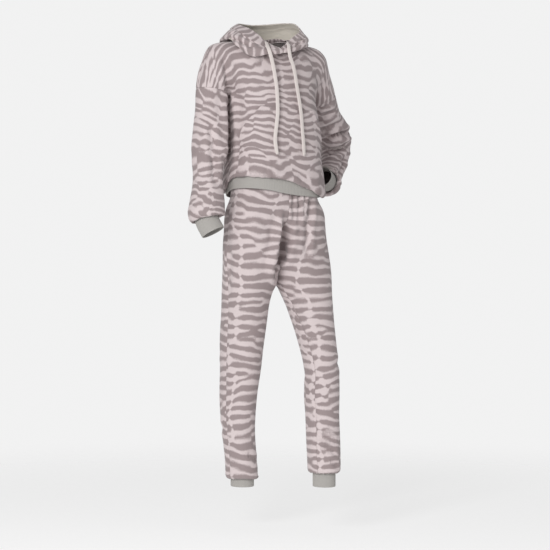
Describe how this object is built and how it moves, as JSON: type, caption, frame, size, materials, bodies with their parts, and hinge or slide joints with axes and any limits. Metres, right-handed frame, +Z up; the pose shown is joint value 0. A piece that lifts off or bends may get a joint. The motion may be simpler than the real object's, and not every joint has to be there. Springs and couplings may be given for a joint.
{
  "type": "lounge set",
  "caption": "Plush hoodie with dropped shoulders, folded hood, patch pocket and drawcord, worn over matching joggers, one hand at the hip.",
  "frame": {"origin": "middle of the wearer's neck at the height of the shoulder seams", "axes": "+Z up along the standing wearer, -Y the way the wearer faces, +X the wearer's left"},
  "size_m": [0.6531, 0.4314, 1.4338],
  "materials": {
    "plush": "striped plush fleece with a soft nap",
    "rib": "matte rib knit",
    "lining": "smooth matte knit",
    "cord": "flat matte braid"
  },
  "bodies": {
    "root": {"hoodie_front": "plush", "hoodie_back": "plush", "sleeve_right": "plush", "sleeve_left": "plush", "cuff_right": "rib", "cuff_left": "rib", "kangaroo_pocket": "plush", "hem_band": "rib", "hood_right": "plush", "hood_left": "plush", "hood_casing": "plush", "hood_lining_right": "lining", "hood_lining_left": "lining", "jogger_front_right": "plush", "jogger_front_left": "plush", "jogger_back_right": "plush", "jogger_back_left": "plush", "waistband": "rib", "ankle_cuff_right": "rib", "ankle_cuff_left": "rib", "drawcord_right": "cord", "drawcord_left": "cord"}
  },
  "joints": []
}
